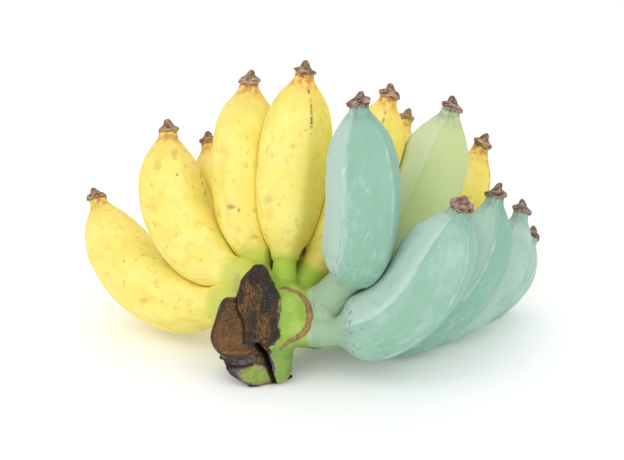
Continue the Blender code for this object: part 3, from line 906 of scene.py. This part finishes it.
def yellow_peel():
    r = Recipe("yellow peel")
    share = r.read("share")
    soft = r.noise(7.5, squeeze=(1, 1, 0.7, 40))
    ochre = r.band(r.noise(6.0, 1.0, 0.4, (1, 1, 0.8, 90)), 0.52, 0.76, 0.38)
    lime = r.band(r.noise(10, squeeze=(1, 1, 0.5, 17)), 0.54, 0.76, 0.55)
    green = r.band(r.plus(r.read("stem"), r.times(r.noise(9), 0.35)), 0.18, 1.10)
    under_cap = r.times(r.band(share, 0.845, 0.925), r.band(r.noise(3.5, 3.0, 0.6), 0.38, 0.60, 0.95))
    away = r.band(share, 0.02, 0.10)
    bruise = r.band(r.noise(4.2, 1.0, 0.4, (1, 1, 0.8, 210)), 0.64, 0.76)
    freckles = r.times(r.spots(3.2, 0.26, 0.20), 0.75)
    fine_dots = r.times(r.spots(1.7, 0.17, 0.24, (1, 1, 1, 410)), r.band(r.noise(14), 0.45, 0.6, 0.55))
    mark = r.times(r.read("mark"), r.band(r.noise(1.3), 0.2, 0.55))
    dash = r.band(r.noise(2.0, 2.0, 0.6, (0.1, 0.1, 1, 77)), 0.47, 0.60)
    base = r.coats(
        r.mix(r.band(r.noise(19), 0.36, 0.66), (247, 234, 134), (246, 227, 114)),
        # Partly the peel's own deeper tone, partly painted shade: the faces turned away from the lit side
        # are a deeper yellow.
        (r.band(r.read("face"), 0.15, -0.8, 0.60), (243, 220, 88)),
        (r.band(soft, 0.52, 0.70, 0.40), (234, 208, 92)),
        (r.times(ochre, r.band(r.noise(30, 1.0), 0.36, 0.60)), (226, 192, 84)),
        (lime, (208, 220, 98)),
        (r.band(green, 0.0, 0.5), (212, 216, 92)),
        (r.band(green, 0.4, 1.0), (174, 202, 76)),
        (r.times(r.band(share, 0.74, 0.90), 0.42), (238, 194, 92)),
        (under_cap, (204, 130, 66)),
        (r.times(bruise, away, 0.36), (198, 148, 84)),
        (r.times(fine_dots, away), (190, 146, 66)),
        (r.times(freckles, away), (146, 102, 48)),
        (mark, (176, 112, 76)),
        (r.band(mark, 0.6, 1.0, 0.9), (92, 60, 38)),
        (r.times(r.read("streak"), dash), (84, 58, 34)))
    fibres = r.noise(1.1, 3.0, squeeze=(1, 1, 0.12))
    rough = r.blend(r.band(soft, 0.4, 0.7), 0.52, 0.62)
    relief = r.plus(r.times(fibres, 0.35), r.times(r.noise(2.2), 0.4), r.times(bruise, -0.5))
    base, rough, relief = cap_look(r, base, rough, relief, (96, 68, 48), (198, 168, 134), (146, 112, 82))
    return r.finish(base, rough, relief, 0.10, 0.32)


def waxy_peel(name, deep, pale, bloom, neck, scratchy, lined, shady):
    """An unripe peel under a pale bloom of wax, with fine scratches."""
    r = Recipe(name)
    share = r.read("share")
    cloud = r.noise(17, 3.0, 0.55, (1, 1, 0.4))
    fine = r.noise(3.4, 4.0, 0.6, (1, 1, 0.45, 33))
    uneven = r.times(r.plus(r.noise(12, 3.0, 0.6, (1, 1, 0.5, 210)), -0.5), 0.4)
    bloomed = r.band(r.plus(r.read("face"), uneven, r.read("bloom")), 0.28, 0.52)
    thin = r.band(r.noise(24, squeeze=(1, 1, 0.5, 800)), 0.44, 0.62, 0.32)
    lost = r.times(bloomed, r.band(r.noise(5, 4.0, 0.7, (1, 1, 0.35, 610)), 0.56, 0.66, 0.4))
    wander = r.plus(r.read("ridge"), r.times(r.plus(r.noise(7, 3.0), -0.5), 0.30))
    line = r.times(
        r.band(wander, 0.94, 1.03), r.band(r.noise(9, squeeze=(1, 1, 0.4, 90)), 0.28, 0.52, lined))
    beside = r.times(
        r.band(wander, 0.70, 0.86), r.band(wander, 0.97, 0.88),
        r.band(r.noise(8, squeeze=(1, 1, 0.4, 450)), 0.5, 0.6, 0.5))
    base = r.coats(
        r.mix(r.band(cloud, 0.40, 0.66, 0.6), deep, pale),
        (r.times(bloomed, 0.8), bloom),
        # Painted shade: the faces turned away from the lit side are darker, less so where the bloom is
        # thick.
        (r.band(r.plus(r.read("face"), r.read("bloom")), 0.0, -0.8, shady), (118, 168, 146)),
        (r.times(r.band(fine, 0.48, 0.66), thin), bloom), (lost, pale), (line, (206, 224, 213)),
        (beside, deep),
        (r.times(r.read("pressed"), 0.25), pale))
    for shift, size, width in ((0, 15, 0.0030), (130, 10, 0.0042), (270, 21, 0.0024), (640, 13, 0.0034)):
        curve = r.noise(size, 0.0, 0.4, (1, 1, 0.8, shift), 0.5)
        gap = r.math("ABSOLUTE", r.plus(curve, -0.5))
        patch = r.band(r.noise(9, squeeze=(1, 1, 1, shift + 60)), 0.52, 0.60)
        base = r.mix(r.times(r.band(gap, width, width * 0.2), patch, scratchy), base, (208, 226, 215))
    rubbed = r.band(r.noise(6.5, 4.0, 0.7, (1, 1, 0.6, 300)), 0.58, 0.70, 0.30)
    smudge = r.times(
        r.band(r.noise(3.4, squeeze=(1, 1, 1, 500)), 0.56, 0.70),
        r.band(share, 0.28, 0.08), r.band(share, 0.0, 0.05, 0.65))
    under_cap = r.times(r.band(share, 0.83, 0.925), r.band(r.noise(3, 3.0), 0.3, 0.62, 0.60))
    base = r.coats(
        base, (rubbed, deep), (r.times(r.read("stem"), 0.9), neck), (smudge, (108, 138, 124)),
        (under_cap, (118, 140, 126)), (r.times(r.spots(7.0, 0.32, 0.25), 0.7), (92, 110, 92)))
    relief = r.plus(r.times(r.noise(1.0, 3.0, squeeze=(1, 1, 0.12)), 0.35), r.times(fine, 0.35))
    rough = r.blend(r.band(cloud, 0.4, 0.65), 0.62, 0.74)
    base, rough, relief = cap_look(r, base, rough, relief, (74, 50, 44), (184, 152, 134), (124, 90, 78))
    return r.finish(base, rough, relief, 0.10, 0.24, sheen=0.12)


def crown_look():
    r = Recipe("cut crown")
    cut, edge, high, blue = r.read("cut"), r.read("edge"), r.read("high"), r.read("blue")
    scar, upper, char = r.read("scar"), r.read("upper"), r.read("char")
    cloud, fine, grain = r.noise(9), r.noise(2.4, 4.0, 0.6), r.noise(0.8, 4.0, 0.7)
    fibres = r.noise(1.3, 4.0, 0.65, (1, 1, 0.28))
    ripe = r.plus(r.read("ripe"), r.times(r.plus(r.noise(6), -0.5), 0.3))
    green = r.coats(
        r.mix(r.band(cloud, 0.36, 0.64), (146, 180, 68), (162, 192, 84)),
        (r.band(high, 28, 18, 0.85), r.mix(r.band(cloud, 0.36, 0.60), (100, 140, 56), (120, 154, 66))),
        (r.band(high, 7, 1, 0.7), (164, 158, 78)),
        (r.band(ripe, 0.02, 0.40), (202, 210, 92)),
        (r.band(ripe, 0.40, 0.95), (244, 226, 118)),
        (r.times(r.band(r.noise(3, 3.0, 0.6), 0.60, 0.70), 0.3), (120, 156, 58)),
        (r.spots(3.0, 0.28, 0.18), (110, 96, 46)))
    waxy = r.coats(
        r.mix(r.band(cloud, 0.36, 0.64), (146, 175, 138), (168, 192, 158)),
        (r.band(fibres, 0.52, 0.68, 0.30), (134, 162, 124)),
        (r.spots(4.0, 0.30, 0.20), (84, 104, 80)))
    bark = r.mix(r.band(fine, 0.4, 0.6), (98, 90, 96), (60, 51, 51))
    husk = r.coats(
        r.mix(r.band(fine, 0.38, 0.62), (128, 98, 62), (168, 134, 90)),
        (r.band(r.math("ABSOLUTE", r.plus(scar, -0.35)), 0.30, 0.10, 0.7), (92, 74, 44)))
    burnt = r.mix(r.band(grain, 0.45, 0.65), (30, 24, 22), (84, 66, 54))
    skin = r.coats(
        r.mix(blue, green, waxy),
        # Painted shade between the stalks: dark brown on the lumps there.
        (r.read("web"), (58, 50, 24)),
        (r.band(edge, 0.10, 0.45, 0.75), (176, 160, 100)),
        (r.band(edge, 0.34, 0.66), bark),
        (r.band(scar, 0.05, 0.5), husk),
        (r.read("burnt"), burnt))

    fibre = r.coats(
        r.mix(r.band(fibres, 0.36, 0.60), (58, 40, 26), (130, 94, 54)),
        (r.band(grain, 0.55, 0.68, 0.8), (196, 154, 94)),
        (r.band(grain, 0.45, 0.34, 0.7), (34, 26, 22)))
    plate = r.coats(
        r.mix(r.band(r.noise(11), 0.38, 0.62), (84, 58, 38), (116, 80, 46)),
        (r.band(r.noise(0.9, 4.0, 0.7, (0.45, 1, 1, 60)), 0.42, 0.62, 0.6), (142, 104, 60)),
        (r.band(grain, 0.56, 0.70, 0.6), (186, 144, 86)),
        (r.band(grain, 0.45, 0.36, 0.6), (44, 32, 25)),
        (r.times(r.read("lip"), r.band(grain, 0.35, 0.6)), (172, 136, 78)))
    pit = r.coats(
        r.mix(r.band(fibres, 0.40, 0.60), (58, 40, 26), (132, 100, 60)),
        (r.band(grain, 0.55, 0.66, 0.8), (190, 156, 104)))
    slab = r.coats(
        r.mix(r.band(fine, 0.4, 0.6), (72, 61, 60), (108, 98, 100)),
        (r.read("fringe"), r.mix(r.band(fine, 0.4, 0.6), (150, 134, 90), (172, 160, 100))),
        (r.read("patch"), r.mix(r.band(fine, 0.4, 0.62), (138, 164, 68), (160, 180, 84))))
    soot = r.times(r.band(r.noise(6, 3.0, 0.6), 0.50, 0.62), r.blend(upper, 0.20, 0.55))
    dry = r.coats(
        r.mix(upper, plate, fibre),
        (r.read("pit"), pit),
        (soot, (42, 30, 24)),
        (r.read("slab"), slab),
        (r.times(r.read("wall"), 0.95), r.mix(r.band(fine, 0.38, 0.62), (62, 57, 60), (118, 110, 116))),
        (r.times(r.read("rim"), r.band(r.read("fringe"), 0.6, 0.2), 0.7), (44, 36, 35)),
        (char, r.mix(r.band(grain, 0.57, 0.66), (32, 28, 27), (150, 122, 84))),
        # Painted shade: near black in the cracks and in the recess under the rim.
        (r.times(r.read("groove"), 0.85), (22, 16, 12)),
        (r.read("burnt"), burnt))
    rough = r.blend(cut, r.blend(blue, 0.48, 0.66), r.blend(r.times(char, cut), 0.85, 0.35))
    relief = r.blend(cut, r.times(fine, 0.2), r.plus(grain, fibres, r.times(fine, 0.8)))
    relief = r.blend(r.read("burnt"), r.blend(scar, relief, r.times(fine, 0.4)), r.times(grain, 1.5))
    return r.finish(r.mix(cut, skin, dry), r.blend(scar, rough, 0.8), relief, 0.75, 0.40)


# --- the hand ---

yellow = yellow_peel()
bluegreen = waxy_peel(
    "bluegreen peel", (138, 182, 160), (152, 192, 172), (184, 208, 197), (156, 182, 148),
    scratchy=0.45, lined=0.36, shady=0.40)
palegreen = waxy_peel(
    "palegreen peel", (190, 205, 142), (196, 210, 152), (206, 218, 182), (170, 192, 130),
    scratchy=0.12, lined=0.10, shady=0.0)
for number, finger in enumerate(FINGERS):
    if is_yellow(finger):
        make_finger(number, finger, yellow)
    elif finger.name == PALE_FINGER:
        make_finger(number, finger, palegreen)
    else:
        make_finger(number, finger, bluegreen)
make_crown(crown_look())

# --- floor, light and camera ---


def make_floor():
    mesh = bpy.data.meshes.new("floor")
    far = 12.0
    mesh.from_pydata([(-far, -far, 0), (far, -far, 0), (far, far, 0), (-far, far, 0)], [], [(0, 1, 2, 3)])
    floor = add_object("floor", mesh)
    material = bpy.data.materials.new("pale floor")
    material.use_nodes = True
    fill(material.node_tree.nodes["Principled BSDF"], {
        "Base Color": (0.93, 0.93, 0.93, 1), "Roughness": 0.9,
        "Emission Color": (1, 1, 1, 1), "Emission Strength": 0.10})
    mesh.materials.append(material)


def make_light(name, place, aim, size, power):
    """A round light; places and size are in metres."""
    light = bpy.data.lights.new(name, "AREA")
    light.shape, light.size, light.energy = "DISK", size, power
    obj = add_object(name, light)
    obj.location = place
    direction = Vector(aim) - Vector(place)
    obj.rotation_mode = "QUATERNION"
    obj.rotation_quaternion = direction.to_track_quat("-Z", "Y")


def make_camera():
    distance = 0.8
    aim = (np.array([0, 0, 67]) - FOOTPRINT_MIDDLE) * MM
    back = np.array([0, -math.cos(CAMERA_ELEVATION), math.sin(CAMERA_ELEVATION)])
    data = bpy.data.cameras.new("camera")
    data.sensor_fit, data.sensor_width, data.lens = "HORIZONTAL", 36, 80.97
    camera = add_object("camera", data)
    camera.location = aim + back * distance
    camera.rotation_euler = (math.pi / 2 - CAMERA_ELEVATION, 0, 0)
    bpy.context.scene.camera = camera


make_floor()
make_light("key", (-0.55, -0.75, 0.95), (0, 0, 0.06), 1.5, 5.8)
make_light("fill", (0.8, -0.7, 0.6), (0, 0, 0.06), 1.4, 3.4)
make_light("back", (0.1, 0.9, 0.9), (0, 0, 0.08), 1.4, 3.6)
make_camera()

world = bpy.data.worlds.new("studio")
world.use_nodes = True
fill(world.node_tree.nodes["Background"], {"Color": (1, 1, 1, 1), "Strength": 0.74})
bpy.context.scene.world = world
bpy.context.scene.view_settings.view_transform = "Standard"
